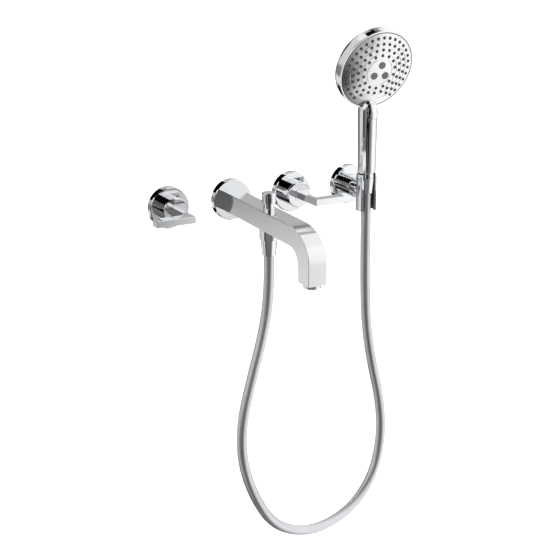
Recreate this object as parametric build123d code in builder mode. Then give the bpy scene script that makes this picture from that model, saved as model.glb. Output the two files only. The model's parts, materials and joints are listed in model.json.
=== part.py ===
from build123d import *
import os
from math import cos, hypot, pi, radians, sin, sqrt, tan

# A wall mounted bath faucet with four wall stations in a row, from left to right:
# hot valve, bath spout with diverter, cold valve and hand-shower holder.
#
# Frame, in millimetres: the wall is the plane Y = 0, the faucet stands out towards -Y,
# +X runs to the right along the wall and +Z is up.  The origin is the middle of the
# spout's inlet, on the wall.  "Out" below is the distance from the wall, so out = -Y.

os.makedirs("parts", exist_ok=True)

# ---------------------------------------------------------------- driving dimensions

STATION_PITCH = 100.0           # between neighbouring wall stations
HOLDER_X = 2 * STATION_PITCH

THREAD_R = 10.48                # G 1/2 outer thread
INLET_DEPTH = 22.0              # how far each inlet thread reaches into the wall
RUNNING_GAP = 0.3               # between faces of different moving bodies

ESCUTCHEON_R = 30.0
ESCUTCHEON_OUT = 10.5
ESCUTCHEON_WALL = 1.5

HUB_R = 19.0                    # valve handle hub
HUB_OUT = 31.2
LEVER_OUT = 86.9                # front of the lever's bar
LEVER_BAR_DEPTH = 15.9
LEVER_BAR_REACH = 53.9          # from the valve axis to the bar's free end
LEVER_ARM_WIDTH = 8.4
LEVER_HEIGHT = 9.8
BOSS_R = 8.7

SPOUT_WIDTH = 28.0
SPOUT_HEIGHT = 28.0
SPOUT_OUT = 254.0
SPOUT_WALL = 3.0
SPOUT_FALL = 0.026              # fall of the spout per millimetre of reach
NOSE_DEPTH = 28.5               # nose of the spout, front to back
NOSE_Z = -64.1
NOSE_INNER_R = 24.0
AERATOR_R = 11.9
AERATOR_DROP = 5.5

DIVERTER_OUT = 120.5
DIVERTER_LIFT = 9.0
NECK_R = 7.6
KNOB_R = 9.9
KNOB_Z = 20.4
KNOB_HEIGHT = 14.2
OUTLET_R = 13.4
OUTLET_Z = -31.5

NUT_LENGTH = 23.2
NUT_TOP_R = 11.8
NUT_END_R = 9.75
NUT_BORE_R = 9.95               # mean radius of the G 1/2 hose thread
STUB_R = NUT_BORE_R - RUNNING_GAP
LOWER_NUT_Z = OUTLET_Z - RUNNING_GAP
HOSE_R = 7.5

CLIP_OUT = 56.0                 # from the wall to the axis of the clip and the handle
CLIP_R = 15.1
CLIP_TOP = 26.0
CLIP_BOTTOM = -29.3
CLIP_HALF_MOUTH = 47.0          # degrees each side of straight out
CLIP_WALL = 2.2
HOLDER_HUB_R = 15.5
HOLDER_NECK_R = 10.5
HOLDER_SCREW_SPACING = 28.0

HANDLE_FOOT_Z = 20.4
HANDLE_FOOT_R = 11.45           # the part of the handle that sits in the clip
HANDLE_STEP_Z = 26.3            # where the handle widens, just above the clip
HANDLE_LOW_Z = 29.3
HANDLE_LOW_R = 13.35
HANDLE_TOP_R = 14.75
SHOULDER_Z = 118.0
SHOULDER_HEIGHT = 24.0
UPPER_NUT_Z = HANDLE_FOOT_Z - RUNNING_GAP

HEAD_R = 60.8
HEAD_OUT = 80.0                 # centre of the spray face's outer nozzle ring
HEAD_Z = 182.0
HEAD_TILT = 18.7                # degrees that the spray face looks down
DOME_R = 200.0                  # radius of the domed spray face
OUTER_RING_R = 50.9
BUTTON_WIDTH = 15.0
BUTTON_HEIGHT = 22.0
BUTTON_Z = 120.6
BUTTON_GAP = 0.5                # all round the button

# nozzle rings: radius, number of nozzles, first angle, angle from first to last
NOZZLE_RINGS = (
    (25.7, 14, 360 / 28, 360 * 13 / 14),
    (34.1, 20, 0.0, 342.0),
    (42.3, 23, -59.6, 299.2),
    (50.9, 27, -53.4, 286.8),
)
NOZZLE_R = 2.25

# The hose hangs in the upright plane through the spout outlet and the clip.
# Each point is (distance from the outlet along that plane, height).
HOSE_REACH = hypot(HOLDER_X, DIVERTER_OUT - CLIP_OUT)
HOSE_ROUTE = (
    (0, LOWER_NUT_Z - NUT_LENGTH),
    (0, -112),
    (-13, -170),
    (-37, -231),
    (-57, -290),
    (-58, -348),
    (-35, -412),
    (6, -474),
    (67, -510),
    (128, -522),
    (194, -512),
    (242, -473),
    (260, -410),
    (252.5, -345),
    (232, -282),
    (216, -215),
    (211.5, -150),
    (HOSE_REACH, -76),
    (HOSE_REACH, UPPER_NUT_Z - NUT_LENGTH),
)


# ---------------------------------------------------------------- helpers


def keep(piece, name):
    """Label a finished piece and write it to the STEP file of the same name."""
    piece.part.label = name
    export_step(piece.part, f"parts/{name}.step")


def turned(outline, plane, axis):
    """Solid of revolution of a closed outline drawn on a plane that holds the axis."""
    with BuildPart() as solid:
        with BuildSketch(plane):
            with BuildLine():
                Polyline(*outline, close=True)
            make_face()
        revolve(axis=axis)
    return solid


def from_wall(station, outline):
    """Turned solid about a wall station's axis; the outline is (out, radius)."""
    plane = Plane(origin=(station, 0, 0), x_dir=(0, -1, 0), z_dir=(-1, 0, 0))
    return turned(outline, plane, Axis((station, 0, 0), (0, -1, 0)))


def upright(x, out, outline):
    """Turned solid about an upright axis; the outline is (radius, height)."""
    plane = Plane(origin=(x, -out, 0), x_dir=(1, 0, 0), z_dir=(0, -1, 0))
    return turned(outline, plane, Axis((x, -out, 0), (0, 0, 1)))


def tube(inner, outer, low, high):
    """Outline of a plain ring or tube: (across, along) points swap to suit the axis."""
    return [(inner, low), (outer, low), (outer, high), (inner, high)]


def swapped(outline):
    """The same outline with along first, as from_wall wants it."""
    return [(along, across) for across, along in outline]


def facing_wall(x, out, z=0.0):
    """Plane parallel to the wall, its normal pointing out of the wall."""
    return Plane(origin=(x, -out, z), x_dir=(1, 0, 0), z_dir=(0, -1, 0))


def level(x, out, z):
    """Horizontal plane at a height, its normal pointing up."""
    return Plane(origin=(x, -out, z), x_dir=(1, 0, 0), z_dir=(0, 0, 1))


def grub_screw(name, x, out, tip_z, length, radius):
    """Set screw pointing up, with a hexagon socket in its lower end."""
    with BuildPart() as screw:
        with BuildSketch(level(x, out, tip_z)):
            Circle(radius)
        extrude(amount=-length)
        with BuildSketch(level(x, out, tip_z - length)):
            RegularPolygon(radius=radius * 0.6, side_count=6)
        extrude(amount=length * 0.45, mode=Mode.SUBTRACT)
    keep(screw, name)


def spring(name, plane, radius, wire, pitch, height):
    """Round wire coil that starts on a plane and rises along its normal."""
    path = plane * Helix(pitch=pitch, height=height, radius=radius)
    with BuildPart() as coil:
        with BuildSketch(Plane(origin=path @ 0, z_dir=path % 0)):
            Circle(wire)
        sweep(path=path, is_frenet=True)
    keep(coil, name)


# ---------------------------------------------------------------- wall trim


def escutcheon(name, station, hole_r):
    """Hollow round cover with a bevelled front edge and a hole in the middle."""
    inner = ESCUTCHEON_R - ESCUTCHEON_WALL
    bevel = 1.0
    back = ESCUTCHEON_OUT - 2.0
    cover = from_wall(station, [
        (0, inner),
        (0, ESCUTCHEON_R),
        (ESCUTCHEON_OUT - bevel, ESCUTCHEON_R),
        (ESCUTCHEON_OUT, ESCUTCHEON_R - bevel),
        (ESCUTCHEON_OUT, hole_r),
        (back, hole_r),
        (back, inner),
    ])
    keep(cover, name)


def one_node(pieces, name):
    """Identical pieces as separate solids of one node."""
    with BuildPart() as group:
        for piece in pieces:
            add(piece.part)
    keep(group, name)


def wall_seal(station):
    """Foam ring that closes an escutcheon against the wall."""
    return from_wall(station, swapped(tube(25.0, 28.3, 0, 2.0)))


one_node([wall_seal(x) for x in (-STATION_PITCH, 0, STATION_PITCH, HOLDER_X)], "wall_seals")


# ---------------------------------------------------------------- valves

CARTRIDGE_R = 8.0
SPINDLE_R = 3.6
DISC_R = 6.5
GLIDE_R = 16.5


def valve_body(name, station):
    keep(from_wall(station, [
        (-INLET_DEPTH, 6.0),
        (-INLET_DEPTH, THREAD_R),
        (0, THREAD_R),
        (0, 13.5),
        (5.0, 13.5),
        (5.0, 12.0),
        (14.0, 12.0),
        (14.0, CARTRIDGE_R),
        (-8.0, CARTRIDGE_R),
        (-8.0, 6.0),
    ]), name)


def cartridge(name, station):
    keep(from_wall(station, [
        (-7.9, DISC_R),
        (-7.9, CARTRIDGE_R - 0.05),
        (14.0, CARTRIDGE_R - 0.05),
        (14.0, 11.0),
        (16.0, 11.0),
        (16.0, SPINDLE_R),
        (1.0, SPINDLE_R),
        (1.0, DISC_R),
    ]), name)


def ceramic_disc(name, station, back, radius, turn):
    """Ceramic disc with two water ports; the turning disc is a quarter turn round."""
    port = 2.0
    port_circle = 3.6
    with BuildPart() as disc:
        with BuildSketch(facing_wall(station, back)):
            Circle(radius)
            with PolarLocations(port_circle, 2, start_angle=turn):
                Circle(port, mode=Mode.SUBTRACT)
        extrude(amount=3.0)
    keep(disc, name)


def spindle(name, station):
    """Stem that drives the turning disc, with an eight-sided end for the hub."""
    shaft = from_wall(station, [
        (-1.3, 0),
        (-1.3, 5.5),
        (0.7, 5.5),
        (0.7, SPINDLE_R - 0.07),
        (17.2, SPINDLE_R - 0.07),
        (17.2, 0),
    ])
    with BuildPart() as stem:
        add(shaft.part)
        with BuildSketch(facing_wall(station, 17.2)):
            RegularPolygon(radius=3.5, side_count=8, rotation=22.5)
        extrude(amount=8.8)
    keep(stem, name)


def glide_ring(station):
    """Plastic ring in the escutcheon's hole that centres the hub."""
    return from_wall(station, swapped(tube(12.1, GLIDE_R - 0.1, 7.0, 10.7)))


def handle_hub(name, station):
    """Round cap over the cartridge, with a socket for the spindle."""
    skirt_r = HUB_R - 2.0
    blank = from_wall(station, [
        (ESCUTCHEON_OUT + RUNNING_GAP, skirt_r),
        (ESCUTCHEON_OUT + RUNNING_GAP, HUB_R),
        (HUB_OUT - 0.8, HUB_R),
        (HUB_OUT, HUB_R - 0.8),
        (HUB_OUT, BOSS_R + 0.1),
        (27.0, BOSS_R + 0.1),
        (27.0, 0),
        (18.0, 0),
        (18.0, skirt_r),
    ])
    with BuildPart() as hub:
        add(blank.part)
        with BuildSketch(facing_wall(station, 17.0)):
            RegularPolygon(radius=3.56, side_count=8, rotation=22.5)
        extrude(amount=11.0, mode=Mode.SUBTRACT)
        with BuildSketch(level(station, 22.5, 0)):
            Circle(2.5)
        extrude(amount=-HUB_R - 1.0, mode=Mode.SUBTRACT)
    keep(hub, name)


def lever(name, station, outward):
    """Arm that stands out from the hub and a flat bar across its end."""
    half_arm = LEVER_ARM_WIDTH / 2
    bar_back = LEVER_OUT - LEVER_BAR_DEPTH
    reach = LEVER_BAR_REACH * outward
    corner = half_arm * outward
    boss = from_wall(station, swapped(tube(0, BOSS_R, 27.05, HUB_OUT + 0.7)))
    with BuildPart() as handle:
        with BuildSketch(level(station, 0, -LEVER_HEIGHT / 2)):
            with BuildLine():
                Polyline(
                    (-corner, -HUB_OUT),
                    (corner, -HUB_OUT),
                    (corner, -bar_back),
                    (reach, -bar_back),
                    (reach, -LEVER_OUT),
                    (-corner, -LEVER_OUT),
                    close=True,
                )
            make_face()
        extrude(amount=LEVER_HEIGHT)
        outer_edges = handle.edges().filter_by(lambda e: e.center().Y < -HUB_OUT - 1)
        fillet(outer_edges, 0.6)
        add(boss.part)
    keep(handle, name)


def valve(side, station, outward):
    escutcheon(f"{side}_escutcheon", station, GLIDE_R)
    valve_body(f"{side}_valve_body", station)
    cartridge(f"{side}_cartridge", station)
    ceramic_disc(f"{side}_fixed_disc", station, -7.5, DISC_R - 0.05, 90)
    ceramic_disc(f"{side}_turning_disc", station, -4.4, DISC_R - 0.08, 0)
    spindle(f"{side}_spindle", station)
    handle_hub(f"{side}_handle_hub", station)
    lever(f"{side}_lever", station, outward)
    grub_screw(f"{side}_handle_screw", station, 22.5, -3.35, 8.0, 2.45)


valve("hot", -STATION_PITCH, -1)
valve("cold", STATION_PITCH, 1)
one_node([glide_ring(-STATION_PITCH), glide_ring(STATION_PITCH)], "glide_rings")

# ---------------------------------------------------------------- bath spout

NOSE_MID_OUT = SPOUT_OUT - NOSE_DEPTH / 2
SPOUT_BEND_OUT = 198.0          # where the spout's top starts to turn down
SPOUT_BEND_Z = -33.2            # where its front turns upright
INNER_BEND_OUT = SPOUT_OUT - NOSE_DEPTH - NOSE_INNER_R
NIPPLE_BORE = THREAD_R + 0.22
ROUND_ARC = 0.552               # handle length of a Bezier quarter round


def fall(out):
    """How far the spout's centre line has dropped at a distance from the wall."""
    return SPOUT_FALL * out


def spout_section(start, inset, floor):
    """Side outline of the spout in the YZ plane, shrunk on every side by inset."""
    half = SPOUT_HEIGHT / 2 - inset
    front = SPOUT_OUT - inset
    back = SPOUT_OUT - NOSE_DEPTH + inset
    bend_top = half - fall(SPOUT_BEND_OUT)
    reach = front - SPOUT_BEND_OUT
    drop = bend_top - SPOUT_BEND_Z
    inner_r = NOSE_INNER_R + inset
    bend_low = -half - fall(INNER_BEND_OUT)
    with BuildSketch(Plane.YZ) as section:
        with BuildLine():
            Line((-start, half - fall(start)), (-SPOUT_BEND_OUT, bend_top))
            Bezier(
                (-SPOUT_BEND_OUT, bend_top),
                (-SPOUT_BEND_OUT - ROUND_ARC * reach, bend_top - fall(ROUND_ARC * reach)),
                (-front, SPOUT_BEND_Z + ROUND_ARC * drop),
                (-front, SPOUT_BEND_Z),
            )
            Polyline(
                (-front, SPOUT_BEND_Z),
                (-front, floor),
                (-back, floor),
                (-back, bend_low - inner_r),
            )
            TangentArc((-back, bend_low - inner_r), (-INNER_BEND_OUT, bend_low), tangent=(0, 1))
            Polyline(
                (-INNER_BEND_OUT, bend_low),
                (-start, -half - fall(start)),
                (-start, half - fall(start)),
            )
        make_face()
    return section


def spout_body():
    """Hollow square spout: round shank in the escutcheon, channel, down-turned nose."""
    outside = spout_section(ESCUTCHEON_OUT, 0, NOSE_Z)
    channel = spout_section(24.0, SPOUT_WALL, NOSE_Z + 9.6)
    shank = from_wall(0, swapped(tube(0, 13.0, 1.0, ESCUTCHEON_OUT + 0.5)))
    bottom_z = -SPOUT_HEIGHT / 2 - fall(DIVERTER_OUT)
    with BuildPart() as body:
        extrude(outside.sketch, amount=SPOUT_WIDTH / 2, both=True)
        long_edges = body.edges().filter_by(lambda e: abs(abs(e.center().X) - SPOUT_WIDTH / 2) < 0.01)
        fillet(long_edges.filter_by(lambda e: e.center().Y < -ESCUTCHEON_OUT - 1), 0.7)
        add(shank.part)
        extrude(channel.sketch, amount=SPOUT_WIDTH / 2 - SPOUT_WALL, both=True, mode=Mode.SUBTRACT)
        with BuildSketch(facing_wall(0, 0)):
            Circle(NIPPLE_BORE)
        extrude(amount=22.0, mode=Mode.SUBTRACT)
        with BuildSketch(facing_wall(0, 21.0)):
            Circle(7.0)
        extrude(amount=4.0, mode=Mode.SUBTRACT)
        with BuildSketch(level(0, NOSE_MID_OUT, NOSE_Z - 1)):
            Circle(11.1)
        extrude(amount=12.0, mode=Mode.SUBTRACT)
        with BuildSketch(level(0, DIVERTER_OUT, 0)):
            Circle(6.0)
        extrude(amount=SPOUT_HEIGHT, mode=Mode.SUBTRACT)
        with BuildSketch(level(0, DIVERTER_OUT, BONNET_Z)):
            Circle(NECK_R + 0.05)
        extrude(amount=5.0, mode=Mode.SUBTRACT)
        with BuildSketch(level(0, DIVERTER_OUT, bottom_z - 1.5)):
            Circle(9.6)
        extrude(amount=8.0, mode=Mode.SUBTRACT)
        with BuildSketch(level(0, 16.0, -8.0)):
            Circle(2.5)
        extrude(amount=-10.0, mode=Mode.SUBTRACT)
    keep(body, "spout_body")


def inlet_nipple():
    """Threaded tube from the in-wall pipe into the spout, grooved for its O-ring."""
    keep(from_wall(0, [
        (-INLET_DEPTH, 7.0),
        (-INLET_DEPTH, THREAD_R),
        (0, THREAD_R),
        (0, 12.5),
        (0.9, 12.5),
        (0.9, THREAD_R),
        (12.0, THREAD_R),
        (12.0, 9.0),
        (14.0, 9.0),
        (14.0, THREAD_R),
        (20.0, THREAD_R),
        (20.0, 7.0),
    ]), "spout_inlet_nipple")
    with BuildPart() as ring:
        with BuildSketch(Plane(origin=(0, 0, 0), x_dir=(0, -1, 0), z_dir=(-1, 0, 0))):
            with Locations((13.0, 9.85)):
                Circle(0.8)
        revolve(axis=Axis((0, 0, 0), (0, -1, 0)))
    keep(ring, "spout_inlet_oring")


def aerator():
    """Round outlet ring that screws into the nose, its jet insert and its seal."""
    housing = upright(0, NOSE_MID_OUT, [
        (9.5, NOSE_Z - AERATOR_DROP),
        (AERATOR_R - 0.6, NOSE_Z - AERATOR_DROP),
        (AERATOR_R, NOSE_Z - AERATOR_DROP + 0.6),
        (AERATOR_R, NOSE_Z),
        (11.0, NOSE_Z),
        (11.0, NOSE_Z + 7.5),
        (9.5, NOSE_Z + 7.5),
    ])
    keep(housing, "aerator_housing")
    with BuildPart() as insert:
        with BuildSketch(level(0, NOSE_MID_OUT, NOSE_Z - AERATOR_DROP + 1.6)):
            Circle(9.4)
            with PolarLocations(7.0, 16):
                Circle(0.9, mode=Mode.SUBTRACT)
            with PolarLocations(3.8, 8):
                Circle(0.9, mode=Mode.SUBTRACT)
        extrude(amount=10.0)
    keep(insert, "aerator_insert")
    seal = tube(8.0, 10.8, NOSE_Z + 7.6, NOSE_Z + 9.4)
    keep(upright(0, NOSE_MID_OUT, seal), "aerator_seal")


BONNET_Z = SPOUT_HEIGHT / 2 - fall(DIVERTER_OUT) - 0.5
OUTLET_SEAT_Z = -SPOUT_HEIGHT / 2 - fall(DIVERTER_OUT) + SPOUT_WALL
ROD_R = 2.6


def diverter():
    """Pull-up diverter: fixed neck, knob, rod with plunger, plunger seal and spring."""
    roof = KNOB_Z + KNOB_HEIGHT - 3.6
    keep(upright(0, DIVERTER_OUT, [
        (ROD_R, BONNET_Z - 4.4),
        (5.9, BONNET_Z - 4.4),
        (5.9, BONNET_Z),
        (NECK_R, BONNET_Z),
        (NECK_R, 27.0),
        (ROD_R, 27.0),
    ]), "diverter_neck")
    keep(upright(0, DIVERTER_OUT, [
        (NECK_R + 0.4, KNOB_Z),
        (KNOB_R - 0.4, KNOB_Z),
        (KNOB_R, KNOB_Z + 0.4),
        (KNOB_R, KNOB_Z + KNOB_HEIGHT - 0.8),
        (KNOB_R - 0.8, KNOB_Z + KNOB_HEIGHT),
        (0, KNOB_Z + KNOB_HEIGHT),
        (0, roof + 2.6),
        (2.0, roof + 2.6),
        (2.0, roof),
        (NECK_R + 0.4, roof),
    ]), "diverter_knob")
    plunger_z = OUTLET_SEAT_Z + 1.6
    keep(upright(0, DIVERTER_OUT, [
        (0, plunger_z),
        (6.0, plunger_z),
        (6.0, plunger_z + 1.6),
        (ROD_R - 0.07, plunger_z + 1.6),
        (ROD_R - 0.07, roof - 0.1),
        (1.95, roof - 0.1),
        (1.95, roof + 2.5),
        (0, roof + 2.5),
    ]), "diverter_rod")
    seal = tube(0, 6.0, OUTLET_SEAT_Z + 0.1, plunger_z)
    keep(upright(0, DIVERTER_OUT, seal), "diverter_plunger_seal")
    # The spring is drawn as short as the lifted rod presses it.
    base = level(0, DIVERTER_OUT, plunger_z + 1.6 + DIVERTER_LIFT + 0.6)
    spring("diverter_spring", base, 4.2, 0.4, 1.2, 4.8)


def shower_outlet():
    """Outlet under the spout that feeds the hose, with a check valve inside."""
    bottom_z = -SPOUT_HEIGHT / 2 - fall(DIVERTER_OUT)
    underside = Plane(origin=(0, -DIVERTER_OUT, bottom_z), z_dir=(0, -SPOUT_FALL, 1))
    thread_z = OUTLET_Z - 10.0
    with BuildPart() as outlet:
        with BuildSketch(level(0, DIVERTER_OUT, OUTLET_Z)):
            Circle(OUTLET_R)
        extrude(amount=bottom_z - OUTLET_Z + 2.0)
        split(bisect_by=underside, keep=Keep.BOTTOM)
        with BuildSketch(level(0, DIVERTER_OUT, thread_z)):
            Circle(STUB_R)
        extrude(amount=12.0)
        with BuildSketch(level(0, DIVERTER_OUT, OUTLET_SEAT_Z)):
            Circle(9.5)
        extrude(amount=-6.0)
        with BuildSketch(level(0, DIVERTER_OUT, OUTLET_SEAT_Z + 1)):
            Circle(4.8)
        extrude(amount=-40.0, mode=Mode.SUBTRACT)
        with BuildSketch(level(0, DIVERTER_OUT, thread_z - 1)):
            Circle(7.1)
        extrude(amount=16.0, mode=Mode.SUBTRACT)
    keep(outlet, "shower_outlet")
    keep(upright(0, DIVERTER_OUT, tube(3.0, 7.0, thread_z + 0.5, thread_z + 14.5)), "check_valve")


escutcheon("spout_escutcheon", 0, 13.3)
spout_body()
inlet_nipple()
grub_screw("spout_screw", 0, 16.0, -10.7, 3.6, 2.45)
aerator()
diverter()
shower_outlet()

# ---------------------------------------------------------------- hose and its ends

NUT_THREAD_DEPTH = 14.0
FERRULE_R = 8.1


def hose_end(place, x, out, mouth):
    """Conical nut, flat washer and crimped ferrule below a thread at mouth height."""
    nut = upright(x, out, [
        (NUT_BORE_R, mouth),
        (NUT_TOP_R - 0.3, mouth),
        (NUT_TOP_R, mouth - 0.3),
        (NUT_END_R, mouth - NUT_LENGTH + 0.5),
        (NUT_END_R - 0.5, mouth - NUT_LENGTH),
        (FERRULE_R + 0.1, mouth - NUT_LENGTH),
        (FERRULE_R + 0.1, mouth - NUT_THREAD_DEPTH),
        (NUT_BORE_R, mouth - NUT_THREAD_DEPTH),
    ])
    keep(nut, f"{place}_hose_nut")
    washer = tube(5.5, STUB_R, mouth - 12.0, mouth - 9.9)
    keep(upright(x, out, washer), f"{place}_hose_washer")
    ferrule = upright(x, out, [
        (4.5, mouth - NUT_LENGTH),
        (FERRULE_R, mouth - NUT_LENGTH),
        (FERRULE_R, mouth - NUT_THREAD_DEPTH + 0.05),
        (STUB_R, mouth - NUT_THREAD_DEPTH + 0.05),
        (STUB_R, mouth - 12.05),
        (4.5, mouth - 12.05),
    ])
    keep(ferrule, f"{place}_hose_ferrule")


def hose():
    """Hose along the route: straight runs joined by the largest arcs that fit."""
    start = Vector(0, -DIVERTER_OUT)
    end = Vector(HOLDER_X, -CLIP_OUT)
    along = (end - start).normalized()
    points = [start + along * s + Vector(0, 0, z) for s, z in HOSE_ROUTE]
    radii = []
    for before, here, after in zip(points, points[1:], points[2:]):
        run_in = here - before
        run_out = after - here
        half_turn = radians(run_in.get_angle(run_out)) / 2
        radii.append(0.45 * min(run_in.length, run_out.length) / tan(half_turn))
    print("hose arc radii:", [round(r) for r in radii])
    with BuildPart() as solid:
        with BuildLine() as path:
            FilletPolyline(*points, radius=radii)
        with BuildSketch(Plane(origin=points[0], z_dir=(0, 0, -1))):
            Circle(HOSE_R)
        sweep(path=path.wire())
    length = path.wire().length
    print("hose length:", round(length, 1))
    print("hose volume:", round(solid.part.volume), "section by length:", round(pi * HOSE_R ** 2 * length))
    keep(solid, "shower_hose")


hose_end("lower", 0, DIVERTER_OUT, LOWER_NUT_Z)
hose_end("upper", HOLDER_X, CLIP_OUT, UPPER_NUT_Z)
hose()

# ---------------------------------------------------------------- hand-shower holder

STUD_R = 7.0
HOLDER_HUB_OUT = 31.0


def holder_plate():
    """Plate screwed to the wall, with a stud for the hub and two countersunk holes."""
    blank = from_wall(HOLDER_X, [(0, 0), (0, 24.0), (3.0, 24.0), (3.0, STUD_R), (20.0, STUD_R), (20.0, 0)])
    with BuildPart() as plate:
        add(blank.part)
        with Locations(facing_wall(HOLDER_X, 3.0)):
            with GridLocations(0, HOLDER_SCREW_SPACING, 1, 2):
                CounterSinkHole(radius=2.2, counter_sink_radius=4.2, depth=4.0)
    keep(plate, "holder_wall_plate")


def holder_screws():
    """Countersunk wood screws in both holes of the plate, their threads drawn smooth."""
    screw = from_wall(HOLDER_X, [
        (-24.0, 0),
        (-20.0, 2.0),
        (-0.05, 2.0),
        (-0.05, 2.1),
        (0.9, 2.1),
        (2.9, 4.0),
        (2.9, 0),
    ])
    with BuildPart() as pair:
        with Locations((0, 0, HOLDER_SCREW_SPACING / 2), (0, 0, -HOLDER_SCREW_SPACING / 2)):
            add(screw.part)
    keep(pair, "holder_wall_screws")


def holder_hub():
    """Round hub that slides over the stud and carries the clip."""
    keep(from_wall(HOLDER_X, [
        (3.1, STUD_R + 0.1),
        (3.1, HOLDER_HUB_R),
        (HOLDER_HUB_OUT - 0.6, HOLDER_HUB_R),
        (HOLDER_HUB_OUT, HOLDER_HUB_R - 0.6),
        (HOLDER_HUB_OUT, 5.0),
        (21.0, 5.0),
        (21.0, STUD_R + 0.1),
    ]), "holder_hub")


def clip_mouth():
    """Wedge that opens the clip to the front, taller than the clip."""
    far = 2 * CLIP_R
    side = far * tan(radians(CLIP_HALF_MOUTH))
    with BuildPart() as wedge:
        with BuildSketch(level(HOLDER_X, CLIP_OUT, CLIP_BOTTOM - 5)):
            with BuildLine():
                Polyline((0, 0), (side, -far), (-side, -far), close=True)
            make_face()
        extrude(amount=CLIP_TOP - CLIP_BOTTOM + 10)
    return wedge


def clip():
    """Upright C-shaped clip on a neck, open to the front."""
    bore_r = CLIP_R - CLIP_WALL
    neck = from_wall(HOLDER_X, [
        (22.0, 0),
        (22.0, 4.9),
        (HOLDER_HUB_OUT, 4.9),
        (HOLDER_HUB_OUT, HOLDER_NECK_R),
        (48.0, HOLDER_NECK_R),
        (48.0, 0),
    ])
    mouth = clip_mouth()
    with BuildPart() as body:
        with BuildSketch(level(HOLDER_X, CLIP_OUT, CLIP_BOTTOM)):
            Circle(CLIP_R)
        extrude(amount=CLIP_TOP - CLIP_BOTTOM)
        chamfer(body.edges().filter_by(GeomType.CIRCLE), 0.4)
        add(neck.part)
        with BuildSketch(level(HOLDER_X, CLIP_OUT, CLIP_BOTTOM - 1)):
            Circle(bore_r)
        extrude(amount=CLIP_TOP - CLIP_BOTTOM + 2, mode=Mode.SUBTRACT)
        add(mouth.part, mode=Mode.SUBTRACT)
    keep(body, "holder_clip")
    shell = upright(HOLDER_X, CLIP_OUT, [
        (11.4, CLIP_BOTTOM + 0.2),
        (bore_r - 0.05, CLIP_BOTTOM + 0.2),
        (bore_r - 0.05, CLIP_TOP - 0.2),
        (12.3, CLIP_TOP - 0.2),
    ])
    with BuildPart() as liner:
        add(shell.part)
        add(mouth.part, mode=Mode.SUBTRACT)
    keep(liner, "holder_clip_liner")


escutcheon("holder_escutcheon", HOLDER_X, HOLDER_HUB_R + 0.2)
holder_plate()
holder_screws()
holder_hub()
clip()

# ---------------------------------------------------------------- hand shower

FACE_NORMAL = Vector(0, -cos(radians(HEAD_TILT)), -sin(radians(HEAD_TILT)))
FACE_UP = Vector(0, -sin(radians(HEAD_TILT)), cos(radians(HEAD_TILT)))
FACE_CENTRE = Vector(HOLDER_X, -HEAD_OUT, HEAD_Z)
BORE_R = 7.6
WHIRL_R = 5.4
WHIRL_RING_R = 10.8
WHIRL_ANGLE = 88.0              # of the first of the three swirl jets
WHIRL_SHIFT = 1.2               # the three jets sit a little to the right of the middle
PLATE_R = 57.3
PLATE_THICK = 2.0
GROOVE_RADII = (20.7, 29.0, 37.5, 46.0)
GROOVE_WIDTH = 0.9
GROOVE_DEPTH = 0.5
TRIM_GAP = 1.3                  # between the face plate and its trim ring
TRIM_TOP = -1.9                 # front of the trim ring, from the outer nozzle ring
FACE_GAP = 0.1                  # joint between the spray face and the handle's shoulder
MAT_THICK = 1.5


def dome(radius):
    """Height of the domed spray face over the plane of its outer nozzle ring."""
    return sqrt(DOME_R ** 2 - radius ** 2) - sqrt(DOME_R ** 2 - OUTER_RING_R ** 2)


def on_face(forward):
    """Plane across the spray face, a distance forward of the outer nozzle ring."""
    return Plane(origin=FACE_CENTRE + FACE_NORMAL * forward, x_dir=(1, 0, 0), z_dir=FACE_NORMAL)


def head_section():
    """Plane through the head's axis: x is the radius, y is forward."""
    return Plane(origin=FACE_CENTRE, x_dir=FACE_UP, z_dir=(1, 0, 0))


HEAD_AXIS = Axis(FACE_CENTRE, FACE_NORMAL)
HANDLE_AXIS = Axis((HOLDER_X, -CLIP_OUT, 0), (0, 0, 1))


def handle_solid(grow):
    """Tapered handle with its domed shoulder, larger by grow on every side."""
    foot_r = HANDLE_FOOT_R + grow
    shoulder_r = HANDLE_TOP_R + grow
    top = SHOULDER_Z + SHOULDER_HEIGHT + grow
    rise = ROUND_ARC * (SHOULDER_HEIGHT + grow)
    plane = Plane(origin=(HOLDER_X, -CLIP_OUT, 0), x_dir=(1, 0, 0), z_dir=(0, -1, 0))
    with BuildPart() as solid:
        with BuildSketch(plane):
            with BuildLine():
                Polyline(
                    (0, HANDLE_FOOT_Z),
                    (foot_r, HANDLE_FOOT_Z),
                    (foot_r, HANDLE_STEP_Z),
                    (HANDLE_LOW_R + grow, HANDLE_LOW_Z),
                    (shoulder_r, SHOULDER_Z),
                )
                Bezier(
                    (shoulder_r, SHOULDER_Z),
                    (shoulder_r, SHOULDER_Z + rise),
                    (ROUND_ARC * shoulder_r, top),
                    (0, top),
                )
                Line((0, top), (0, HANDLE_FOOT_Z))
            make_face()
        revolve(axis=HANDLE_AXIS)
    return solid


def head_solid(front, rim, shoulder, back_r, back, apex):
    """Disc with a rounded back edge and a domed back.

    The outline starts at the front and runs by the rim point, an arc through the
    shoulder point and the point (back_r, back), then a dome centred on the axis.
    """
    depth = back - apex
    dome_r = (back_r ** 2 + depth ** 2) / (2 * depth)
    middle = apex + dome_r - sqrt(dome_r ** 2 - back_r ** 2 / 4)
    with BuildPart() as solid:
        with BuildSketch(head_section()):
            with BuildLine():
                Polyline((0, front), (rim[0], front), rim)
                ThreePointArc(rim, shoulder, (back_r, back))
                ThreePointArc((back_r, back), (back_r / 2, middle), (0, apex))
                Line((0, apex), (0, front))
            make_face()
        revolve(axis=HEAD_AXIS)
    return solid


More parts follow.
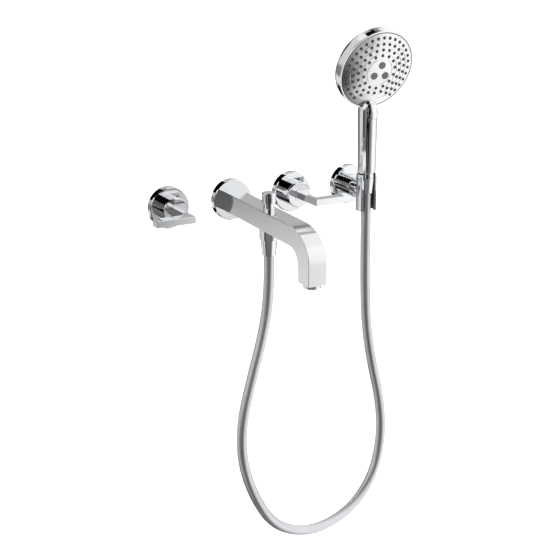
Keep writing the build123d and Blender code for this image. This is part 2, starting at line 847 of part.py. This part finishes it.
def button_outline(grow):
    """Rounded rectangle of the select button, larger by grow on every side."""
    with BuildSketch(facing_wall(HOLDER_X, 0, BUTTON_Z)) as outline:
        RectangleRounded(BUTTON_WIDTH + 2 * grow, BUTTON_HEIGHT + 2 * grow, 5.0 + grow)
    return outline


CAVITY_R = 58.8
POCKET_OUT = 64.2
BUTTON_BACK_OUT = 67.0
SPRING_POCKET_R = 3.7


def shower_shell():
    """Handle and back of the head in one piece, hollow, with the button's pocket."""
    handle = handle_solid(0)
    outside = head_solid(-2.6, (HEAD_R, -11.0), (58.4, -20.2), 51.0, -25.0, -32.6)
    cavity = head_solid(12.0, (CAVITY_R, -12.0), (56.4, -18.8), 49.6, -22.6, -30.2)
    with BuildPart() as room:
        add(cavity.part)
        add(handle.part, mode=Mode.SUBTRACT)
    pocket = button_outline(BUTTON_GAP)
    with BuildPart() as shell:
        add(outside.part)
        add(handle.part)
        add(room.part, mode=Mode.SUBTRACT)
        with BuildSketch(level(HOLDER_X, CLIP_OUT, HANDLE_FOOT_Z - 1)):
            Circle(BORE_R)
        extrude(amount=SHOULDER_Z + 6.0 - HANDLE_FOOT_Z, mode=Mode.SUBTRACT)
        with BuildSketch(level(HOLDER_X, CLIP_OUT, SHOULDER_Z)):
            Circle(5.0)
        extrude(amount=SHOULDER_HEIGHT + 4.0, mode=Mode.SUBTRACT)
        extrude(pocket.sketch.moved(Location((0, -POCKET_OUT, 0))), amount=20.0, dir=(0, -1, 0), mode=Mode.SUBTRACT)
    keep(shell, "shower_shell")


def handle_insides():
    """Threaded insert in the handle's foot and the inner water tube."""
    keep(upright(HOLDER_X, CLIP_OUT, [
        (5.0, UPPER_NUT_Z - 9.8),
        (STUB_R, UPPER_NUT_Z - 9.8),
        (STUB_R, HANDLE_FOOT_Z - 0.1),
        (BORE_R - 0.1, HANDLE_FOOT_Z - 0.1),
        (BORE_R - 0.1, HANDLE_FOOT_Z + 13.6),
        (5.0, HANDLE_FOOT_Z + 13.6),
    ]), "handle_thread_insert")
    water = tube(5.2, 6.4, HANDLE_FOOT_Z + 13.8, SHOULDER_Z + 4.0)
    keep(upright(HOLDER_X, CLIP_OUT, water), "handle_water_tube")


def dome_arc(start, end, shift):
    """Arc of the dome between two radii, shifted along the head's axis."""
    middle = (start + end) / 2
    ThreePointArc((start, dome(start) + shift), (middle, dome(middle) + shift), (end, dome(end) + shift))


def domed_disc(radius, top, thickness, grooves=()):
    """Disc that follows the dome, its top shifted by top and cut by fine V grooves."""
    low = top - thickness
    half = GROOVE_WIDTH / 2
    with BuildPart() as disc:
        with BuildSketch(head_section()):
            with BuildLine():
                start = 0
                for groove in grooves:
                    floor = (groove, dome(groove) + top - GROOVE_DEPTH)
                    dome_arc(start, groove - half, top)
                    Line((groove - half, dome(groove - half) + top), floor)
                    Line(floor, (groove + half, dome(groove + half) + top))
                    start = groove + half
                dome_arc(start, radius, top)
                Line((radius, dome(radius) + top), (radius, dome(radius) + low))
                dome_arc(radius, 0, low)
                Line((0, dome(0) + low), (0, dome(0) + top))
            make_face()
        revolve(axis=HEAD_AXIS)
    return disc


def whirl_plane(forward):
    """Plane across the face, centred on the three swirl jets."""
    middle = on_face(forward).origin + Vector(WHIRL_SHIFT, 0, 0)
    return Plane(origin=middle, x_dir=(1, 0, 0), z_dir=FACE_NORMAL)


def spray_plate():
    """Domed face plate with a hole for every nozzle and thin circle lines between them."""
    blank = domed_disc(PLATE_R, 0, PLATE_THICK, GROOVE_RADII)
    shoulder = handle_solid(FACE_GAP)
    with BuildPart() as plate:
        add(blank.part)
        for ring_r, count, first, span in NOZZLE_RINGS:
            with BuildSketch(on_face(dome(ring_r) - 6)):
                with PolarLocations(ring_r, count, first, span, endpoint=True):
                    Circle(NOZZLE_R + 0.2)
            extrude(amount=12, mode=Mode.SUBTRACT)
        with BuildSketch(whirl_plane(dome(WHIRL_RING_R) - 6)):
            with PolarLocations(WHIRL_RING_R, 3, WHIRL_ANGLE):
                Circle(WHIRL_R + 0.15)
        extrude(amount=12, mode=Mode.SUBTRACT)
        add(shoulder.part, mode=Mode.SUBTRACT)
    keep(plate, "spray_plate")


def nozzle_mat():
    """Rubber mat behind the plate, with its nozzles and a dark lip round the plate."""
    blank = domed_disc(PLATE_R + TRIM_GAP, -PLATE_THICK - 0.05, MAT_THICK)
    lip_base = dome(PLATE_R) - PLATE_THICK - 0.5
    lip = turned(
        tube(PLATE_R + 0.05, PLATE_R + TRIM_GAP - 0.05, lip_base, TRIM_TOP),
        head_section(),
        HEAD_AXIS,
    )
    shoulder = handle_solid(FACE_GAP)
    with BuildPart() as mat:
        add(blank.part)
        add(lip.part)
        for ring_r, count, first, span in NOZZLE_RINGS:
            with BuildSketch(on_face(dome(ring_r) - PLATE_THICK - 1.0)):
                with PolarLocations(ring_r, count, first, span, endpoint=True):
                    Circle(NOZZLE_R)
            extrude(amount=PLATE_THICK + 1.9, taper=3)
        with BuildSketch(whirl_plane(dome(WHIRL_RING_R) - 8)):
            with PolarLocations(WHIRL_RING_R, 3, WHIRL_ANGLE):
                Circle(WHIRL_R + 0.4)
        extrude(amount=12, mode=Mode.SUBTRACT)
        add(shoulder.part, mode=Mode.SUBTRACT)
    keep(mat, "nozzle_mat")


def whirl_nozzles():
    """Three large swirl jets near the middle of the spray face."""
    front = dome(WHIRL_RING_R)
    with BuildPart() as jets:
        with BuildSketch(whirl_plane(front - 5.0)):
            with PolarLocations(WHIRL_RING_R, 3, WHIRL_ANGLE):
                Circle(WHIRL_R)
        extrude(amount=5.8)
        with BuildSketch(whirl_plane(front + 0.8)):
            with PolarLocations(WHIRL_RING_R, 3, WHIRL_ANGLE):
                Circle(4.3)
                Circle(3.2, mode=Mode.SUBTRACT)
        extrude(amount=-0.9, mode=Mode.SUBTRACT)
        with BuildSketch(whirl_plane(front + 0.8)):
            with PolarLocations(WHIRL_RING_R, 3, WHIRL_ANGLE):
                with PolarLocations(1.9, 3):
                    Circle(0.6)
                Circle(1.1)
        extrude(amount=-2.2, mode=Mode.SUBTRACT)
    keep(jets, "whirl_nozzles")


def head_insides():
    """Trim ring around the face, and the spray chamber and selector behind it."""
    outline = turned([
        (PLATE_R + TRIM_GAP, -2.6),
        (HEAD_R - 0.3, -2.6),
        (HEAD_R - 0.5, TRIM_TOP - 0.2),
        (HEAD_R - 0.7, TRIM_TOP),
        (PLATE_R + TRIM_GAP, TRIM_TOP),
    ], head_section(), HEAD_AXIS)
    shoulder = handle_solid(FACE_GAP)
    with BuildPart() as trim:
        add(outline.part)
        add(shoulder.part, mode=Mode.SUBTRACT)
    keep(trim, "face_trim_ring")
    with BuildPart() as chamber:
        with BuildSketch(on_face(-10.0)):
            Circle(PLATE_R)
            with PolarLocations(14.0, 6):
                Circle(3.0, mode=Mode.SUBTRACT)
            with PolarLocations(38.0, 12):
                Circle(2.5, mode=Mode.SUBTRACT)
        extrude(amount=3.4)
        add(shoulder.part, mode=Mode.SUBTRACT)
    keep(chamber, "spray_chamber")
    with BuildPart() as selector:
        with BuildSketch(on_face(-13.5)):
            Circle(20.0)
            with PolarLocations(14.0, 3):
                Circle(3.0, mode=Mode.SUBTRACT)
        extrude(amount=3.4)
    keep(selector, "spray_selector_disc")


def select_button():
    """Push button on the handle's shoulder and its return spring."""
    outline = button_outline(0)
    surface = handle_solid(0.9)
    with BuildPart() as button:
        extrude(outline.sketch.moved(Location((0, -BUTTON_BACK_OUT, 0))), amount=12.0, dir=(0, -1, 0))
        add(surface.part, mode=Mode.INTERSECT)
        with BuildSketch(facing_wall(HOLDER_X, BUTTON_BACK_OUT - 1, BUTTON_Z - 2)):
            Circle(SPRING_POCKET_R)
        extrude(amount=3.2, mode=Mode.SUBTRACT)
    keep(button, "select_button")
    # The spring is drawn as short as the pressed button makes it.
    base = facing_wall(HOLDER_X, POCKET_OUT + 0.45, BUTTON_Z - 2)
    spring("button_spring", base, 2.6, 0.3, 0.9, 1.6)


shower_shell()
handle_insides()
spray_plate()
nozzle_mat()
whirl_nozzles()
head_insides()
select_button()
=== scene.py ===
"""Looks for the wall mounted bath faucet: materials, the smooth hose, studio and camera."""

import bpy
import json
from math import pi, radians
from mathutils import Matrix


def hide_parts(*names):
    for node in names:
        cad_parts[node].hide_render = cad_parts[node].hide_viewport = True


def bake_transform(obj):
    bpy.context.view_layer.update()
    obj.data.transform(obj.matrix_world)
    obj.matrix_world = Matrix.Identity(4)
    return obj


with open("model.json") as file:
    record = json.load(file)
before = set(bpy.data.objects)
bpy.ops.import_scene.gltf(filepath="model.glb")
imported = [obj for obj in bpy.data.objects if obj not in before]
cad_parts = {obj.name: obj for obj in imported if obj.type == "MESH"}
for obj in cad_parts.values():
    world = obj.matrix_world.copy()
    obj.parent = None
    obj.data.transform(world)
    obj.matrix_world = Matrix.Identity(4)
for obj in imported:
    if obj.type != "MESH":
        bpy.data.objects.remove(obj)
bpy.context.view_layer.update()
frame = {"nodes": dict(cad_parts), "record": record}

# ---------------------------------------------------------------- sizes, in metres

HOSE_RADIUS = 0.0075
CLIP_X = 0.2
OUTLET_Y = -0.1205
CLIP_Y = -0.056
HOSE_REACH = ((CLIP_X ** 2) + (CLIP_Y - OUTLET_Y) ** 2) ** 0.5
HOSE_STEPS = 12                 # sections of the smooth tube between two route points
HOSE_RING_STEPS = 10            # how finely its round section is drawn

# The hose's route in the upright plane through the outlet and the clip: the same
# points as the CAD tube's, as (distance from the outlet along the plane, height).
HOSE_ROUTE = (
    (0, -0.055),
    (0, -0.112),
    (-0.013, -0.170),
    (-0.037, -0.231),
    (-0.057, -0.290),
    (-0.058, -0.348),
    (-0.035, -0.412),
    (0.006, -0.474),
    (0.067, -0.510),
    (0.128, -0.522),
    (0.194, -0.512),
    (0.242, -0.473),
    (0.260, -0.410),
    (0.2525, -0.345),
    (0.232, -0.282),
    (0.216, -0.215),
    (0.2115, -0.150),
    (HOSE_REACH, -0.076),
    (HOSE_REACH, -0.0031),
)

CAMERA_PLACE = (-0.8824, -1.7436, 0.4858)
CAMERA_HEADING = 29.0           # degrees to the right of straight at the wall
CAMERA_DOWN = 17.36             # degrees below level
CAMERA_LENS = 88.65             # mm
CAMERA_SENSOR = 36              # mm
CAMERA_NEAR = 0.01
CAMERA_FAR = 200

FLOOR_Z = -0.75
FLOOR_HALF = 40.0
FLOOR_SHADE = 0.95
FLOOR_GLOW = 0.6                # keeps the floor as pale as the room round it
FLOOR_ROUGHNESS = 0.9

# ---------------------------------------------------------------- materials

NOISE_MIDDLE = (0.35, 0.65)     # the part of a noise's range that most of it falls in
TINT_MIDDLE = (0.3, 0.7)
METAL_CLOUDS = 9.0              # scale of the soft colour changes, per metre
DULL_CLOUDS = 40.0
METAL_DETAIL = 6.0              # octaves of the fine grain
DULL_DETAIL = 5.0
CLOUD_DETAIL = 4.0


def new_material(name, **sockets):
    """Principled material; the sockets' constant values are set straight on the shader."""
    material = bpy.data.materials.new(name)
    material.use_nodes = True
    shader = material.node_tree.nodes["Principled BSDF"]
    for socket, value in sockets.items():
        shader.inputs[socket.replace("_", " ")].default_value = value
    return material, material.node_tree, shader


def noise(tree, scale, detail=CLOUD_DETAIL, stretch=(1, 1, 1)):
    """Noise in object space, stretched by axis; returns its factor output."""
    place = tree.nodes.new("ShaderNodeTexCoord")
    mapping = tree.nodes.new("ShaderNodeMapping")
    mapping.inputs["Scale"].default_value = stretch
    texture = tree.nodes.new("ShaderNodeTexNoise")
    texture.inputs["Scale"].default_value = scale
    texture.inputs["Detail"].default_value = detail
    tree.links.new(place.outputs["Object"], mapping.inputs["Vector"])
    tree.links.new(mapping.outputs["Vector"], texture.inputs["Vector"])
    return texture.outputs["Fac"]


def spread(tree, value, low, high):
    """The value's middle range mapped to low .. high."""
    node = tree.nodes.new("ShaderNodeMapRange")
    node.inputs["From Min"].default_value = NOISE_MIDDLE[0]
    node.inputs["From Max"].default_value = NOISE_MIDDLE[1]
    node.inputs["To Min"].default_value = low
    node.inputs["To Max"].default_value = high
    tree.links.new(value, node.inputs["Value"])
    return node.outputs["Result"]


def tint(tree, value, dark, light):
    """Colour that goes from dark to light with the value."""
    ramp = tree.nodes.new("ShaderNodeValToRGB")
    ramp.color_ramp.elements[0].position = TINT_MIDDLE[0]
    ramp.color_ramp.elements[1].position = TINT_MIDDLE[1]
    ramp.color_ramp.elements[0].color = (*dark, 1)
    ramp.color_ramp.elements[1].color = (*light, 1)
    tree.links.new(value, ramp.inputs["Fac"])
    return ramp.outputs["Color"]


def bump(tree, shader, value, distance):
    """Relief of the given depth, in metres, on the shader's normal."""
    node = tree.nodes.new("ShaderNodeBump")
    node.inputs["Strength"].default_value = 1.0
    node.inputs["Distance"].default_value = distance
    tree.links.new(value, node.inputs["Height"])
    tree.links.new(node.outputs["Normal"], shader.inputs["Normal"])


def metal(name, dark, light, rough_low, rough_high, grain, stretch=(1, 1, 1), relief=0.0):
    """Metal whose colour and polish vary softly, with an optional fine relief."""
    material, tree, shader = new_material(name, Metallic=1.0)
    tree.links.new(tint(tree, noise(tree, METAL_CLOUDS), dark, light), shader.inputs["Base Color"])
    fine = noise(tree, grain, METAL_DETAIL, stretch)
    tree.links.new(spread(tree, fine, rough_low, rough_high), shader.inputs["Roughness"])
    if relief:
        bump(tree, shader, fine, relief)
    return material


def dull(name, dark, light, rough_low, rough_high, grain, relief):
    """Plastic, rubber or ceramic with a fine moulded or ground surface."""
    material, tree, shader = new_material(name)
    tree.links.new(tint(tree, noise(tree, DULL_CLOUDS), dark, light), shader.inputs["Base Color"])
    fine = noise(tree, grain, DULL_DETAIL)
    tree.links.new(spread(tree, fine, rough_low, rough_high), shader.inputs["Roughness"])
    bump(tree, shader, fine, relief)
    return material


CHROME_DARK = (0.83, 0.84, 0.86)
CHROME_LIGHT = (0.88, 0.89, 0.90)

# Colours, then lowest and highest roughness, then the grain's scale per metre; a metal
# may add how its grain is stretched and how deep it is, and the others end in its depth.
METALS = {
    "chrome": (CHROME_DARK, CHROME_LIGHT, 0.02, 0.05, 600),
    "soft_chrome": (CHROME_DARK, CHROME_LIGHT, 0.10, 0.14, 600),
    "chromed_plastic": (CHROME_DARK, CHROME_LIGHT, 0.03, 0.06, 500),
    "hose_metal": ((0.70, 0.71, 0.73), (0.76, 0.77, 0.79), 0.42, 0.48, 900),
    "brass": ((0.56, 0.42, 0.20), (0.68, 0.53, 0.28), 0.22, 0.38, 500, (1, 8, 1), 2e-5),
    "steel": ((0.50, 0.50, 0.52), (0.60, 0.60, 0.62), 0.2, 0.35, 700, (1, 1, 6), 1e-5),
    "spray_face": ((0.86, 0.87, 0.88), (0.90, 0.91, 0.92), 0.20, 0.27, 1200, (1, 1, 1), 2e-6),
}
OTHERS = {
    "ceramic": ((0.86, 0.86, 0.83), (0.93, 0.93, 0.90), 0.3, 0.4, 900, 5e-6),
    "rubber": ((0.03, 0.03, 0.03), (0.05, 0.05, 0.05), 0.6, 0.8, 1500, 2e-5),
    "nozzle_rubber": ((0.030, 0.032, 0.036), (0.045, 0.048, 0.053), 0.35, 0.5, 1500, 1e-5),
    "white_plastic": ((0.78, 0.78, 0.77), (0.86, 0.86, 0.85), 0.35, 0.5, 900, 1e-5),
    "grey_plastic": ((0.12, 0.125, 0.13), (0.17, 0.175, 0.18), 0.22, 0.32, 900, 1e-5),
    "dark_plastic": ((0.05, 0.05, 0.055), (0.08, 0.08, 0.085), 0.35, 0.5, 900, 1e-5),
    "foam": ((0.20, 0.20, 0.21), (0.28, 0.28, 0.29), 0.8, 0.95, 1800, 8e-5),
}
MATERIALS = {name: metal(name, *look) for name, look in METALS.items()}
MATERIALS.update({name: dull(name, *look) for name, look in OTHERS.items()})

# The spout's broad faces show softer reflections than the turned chrome parts.
SOFTER = {"spout_body": "soft_chrome"}

for part in frame["record"]["subparts"]:
    node = frame["nodes"][part["node"]]
    node.data.materials.clear()
    node.data.materials.append(MATERIALS[SOFTER.get(part["node"], part["material_slot"])])

# ---------------------------------------------------------------- hose


def route_point(along, height):
    """The place at a distance along the hose's plane and a height."""
    share = along / HOSE_REACH
    return (share * CLIP_X, OUTLET_Y + share * (CLIP_Y - OUTLET_Y), height)


def hose_spline():
    """Smooth NURBS curve with the route's points as its control points."""
    line = bpy.data.curves.new("shower_hose_line", "CURVE")
    line.dimensions = "3D"
    line.resolution_u = HOSE_STEPS
    spline = line.splines.new("NURBS")
    spline.points.add(len(HOSE_ROUTE) - 1)
    for point, place in zip(spline.points, HOSE_ROUTE):
        point.co = (*route_point(*place), 1)
    spline.order_u = 3
    spline.use_endpoint_u = True
    return line


def make_hose():
    """The hose as a smooth tube round its curve."""
    curve = hose_spline()
    guide = bpy.data.objects.new("shower_hose_guide", curve)
    bpy.context.scene.collection.objects.link(guide)
    bpy.context.view_layer.update()
    line = bpy.data.meshes.new_from_object(guide)
    curve.bevel_depth = HOSE_RADIUS
    curve.bevel_resolution = HOSE_RING_STEPS
    curve.use_fill_caps = True
    bpy.context.view_layer.update()
    graph = bpy.context.evaluated_depsgraph_get()
    mesh = bpy.data.meshes.new_from_object(guide.evaluated_get(graph))
    bpy.data.objects.remove(guide)
    # The quads of the tube are smooth, and its end caps stay flat.
    for polygon in mesh.polygons:
        polygon.use_smooth = len(polygon.vertices) == 4
    hose = bpy.data.objects.new("shower_hose_tube", mesh)
    bpy.context.scene.collection.objects.link(hose)
    hose.data.materials.append(MATERIALS["hose_metal"])
    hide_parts("shower_hose")
    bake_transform(hose)


make_hose()

# ---------------------------------------------------------------- studio


def floor():
    """Plain pale floor well below the faucet, which hangs on its wall."""
    mesh = bpy.data.meshes.new("floor")
    half = FLOOR_HALF
    corners = [(-half, -half), (half, -half), (half, half), (-half, half)]
    mesh.from_pydata([(x, y, FLOOR_Z) for x, y in corners], [], [(0, 1, 2, 3)])
    plane = bpy.data.objects.new("floor", mesh)
    bpy.context.scene.collection.objects.link(plane)
    material, _, _ = new_material(
        "floor",
        Roughness=FLOOR_ROUGHNESS,
        Base_Color=(FLOOR_SHADE, FLOOR_SHADE, FLOOR_SHADE, 1),
        Emission_Color=(1, 1, 1, 1),
        Emission_Strength=FLOOR_GLOW,
    )
    mesh.materials.append(material)
    plane.visible_glossy = False


def math(tree, operation, *values):
    """Math node on numbers or outputs; returns its output."""
    node = tree.nodes.new("ShaderNodeMath")
    node.operation = operation
    for socket, value in zip(node.inputs, values):
        if isinstance(value, (int, float)):
            socket.default_value = value
        else:
            tree.links.new(value, socket)
    return node.outputs[0]


def soft_window(tree, value, centre, half, soft):
    """1 within half of the centre, falling smoothly to 0 over soft."""
    away = math(tree, "ABSOLUTE", math(tree, "SUBTRACT", value, centre))
    node = tree.nodes.new("ShaderNodeMapRange")
    node.interpolation_type = "SMOOTHSTEP"
    node.inputs["From Min"].default_value = half
    node.inputs["From Max"].default_value = half + soft
    node.inputs["To Min"].default_value = 1.0
    node.inputs["To Max"].default_value = 0.0
    tree.links.new(away, node.inputs["Value"])
    return node.outputs["Result"]


# Panels of the studio that only reflections see, later ones in front.  Each is the
# heading and height of its middle, half its width and height, the softness of its
# edges (all in degrees) and how bright it shows: 0 is black, 1 is white, and the two big
# ones on the right are a little over.  A half width of 400 goes all the way round.  What
# no panel covers is the plain room.
ROOM_SHADE = 1.0
PANELS = (
    ("floor", 0, -80, 400, 18, 8, 0.5),
    ("wall side", -20, 0, 55, 24, 8, 0.72),
    ("wall low", -20, -7, 22, 6, 5, 0.52),
    ("upper left", -52, 34, 20, 28, 8, 0.86),
    ("side glow", -30, -22, 16, 4, 5.5, 0.92),
    ("left light", -64, -9, 6, 5, 7, 0.92),
    ("overhead", 0, 80, 400, 7, 8, 0.05),
    ("left dark", -104, -12, 12, 14, 9, 0.34),
    ("left", -128, -12, 6, 14, 4, 0.5),
    ("left above", -150, 8, 30, 8, 6, 0.5),
    ("front left", -174, -12, 2, 16, 34, 0.05),
    ("left behind", -152, -22, 30, 8, 4, 0.47),
    ("black band", -153, -9, 17, 5.4, 1.2, 0.0),
    ("mirror of the cold valve", -150.3, -14.5, 0.8, 1.3, 0.4, 0.47),
    ("mirror of the spout", -153, -14.5, 0.8, 1.3, 0.4, 0.47),
    ("mirror of the hot valve", -155.6, -14.5, 0.8, 1.3, 0.4, 0.47),
    ("front light", 149, -13, 4, 3, 3, 0.94),
    ("front grey", 163, -13, 6, 7, 4, 0.64),
    ("under the nose", 150, -18, 4, 2, 2, 0.76),
    ("low left", -140, -40, 38, 9, 6, 0.06),
    ("under the head", -174, -54, 20, 9, 18, 0.15),
    ("over the hub", -162, 25, 20, 8, 4, 0.03),
    ("over the bend", 40, 42, 14, 10, 10, 0.5),
    ("over the shoulder", -140, 56, 40, 18, 5, 0.02),
    ("over the head", 18, 58, 16, 4, 4, 0.03),
    ("over the wall", -13, 23, 20, 11, 3, 0.04),
    ("under the wall", -4, -31, 9, 3, 3, 0.05),
    ("low wall side", 0, -48, 62, 12, 6, 0.12),
    ("low right", 75, -45, 40, 16, 6, 1.05),
    ("right", 95, 5, 50, 40, 10, 1.05),
    ("right grey", 68, -14, 22, 7, 8, 0.78),
    ("edge", 16, -14, 20, 9, 4, 0.06),
    ("mirror of the levers", 27.5, -14.5, 4.5, 2, 1, 0.98),
)
DISPLAY_GAMMA = 2.2             # turns a shade as displayed into light


def studio():
    """World light: even white for the shading, and soft panels in the reflections."""
    world = bpy.data.worlds.new("studio")
    bpy.context.scene.world = world
    world.use_nodes = True
    tree = world.node_tree
    background = tree.nodes["Background"]
    place = tree.nodes.new("ShaderNodeTexCoord")
    split = tree.nodes.new("ShaderNodeSeparateXYZ")
    tree.links.new(place.outputs["Generated"], split.inputs["Vector"])
    x, y, z = split.outputs
    heading = math(tree, "MULTIPLY", math(tree, "ARCTAN2", x, y), 180 / pi)
    height = math(tree, "MULTIPLY", math(tree, "ARCSINE", z), 180 / pi)
    level = ROOM_SHADE ** DISPLAY_GAMMA
    for _, head, up, half_wide, half_high, soft, shade in PANELS:
        bright = shade ** DISPLAY_GAMMA
        turned = math(tree, "WRAP", math(tree, "SUBTRACT", heading, head), 180, -180)
        across = soft_window(tree, turned, 0, half_wide, soft)
        along = soft_window(tree, height, up, half_high, soft)
        share = math(tree, "MULTIPLY", across, along)
        step = math(tree, "MULTIPLY", share, math(tree, "SUBTRACT", bright, level))
        level = math(tree, "ADD", level, step)
    rays = tree.nodes.new("ShaderNodeLightPath")
    glossy = rays.outputs["Is Glossy Ray"]
    even = math(tree, "SUBTRACT", 1.0, glossy)
    seen = math(tree, "MULTIPLY", glossy, level)
    tree.links.new(math(tree, "ADD", even, seen), background.inputs["Strength"])
    background.inputs["Color"].default_value = (1, 1, 1, 1)


def camera():
    """Camera to the left of straight on and a little above."""
    data = bpy.data.cameras.new("camera")
    data.lens = CAMERA_LENS
    data.sensor_width = CAMERA_SENSOR
    data.clip_start = CAMERA_NEAR
    data.clip_end = CAMERA_FAR
    view = bpy.data.objects.new("camera", data)
    view.location = CAMERA_PLACE
    view.rotation_euler = (radians(90 - CAMERA_DOWN), 0, radians(-CAMERA_HEADING))
    bpy.context.scene.collection.objects.link(view)
    bpy.context.scene.camera = view


floor()
studio()
camera()
bpy.context.scene.view_settings.view_transform = "Standard"
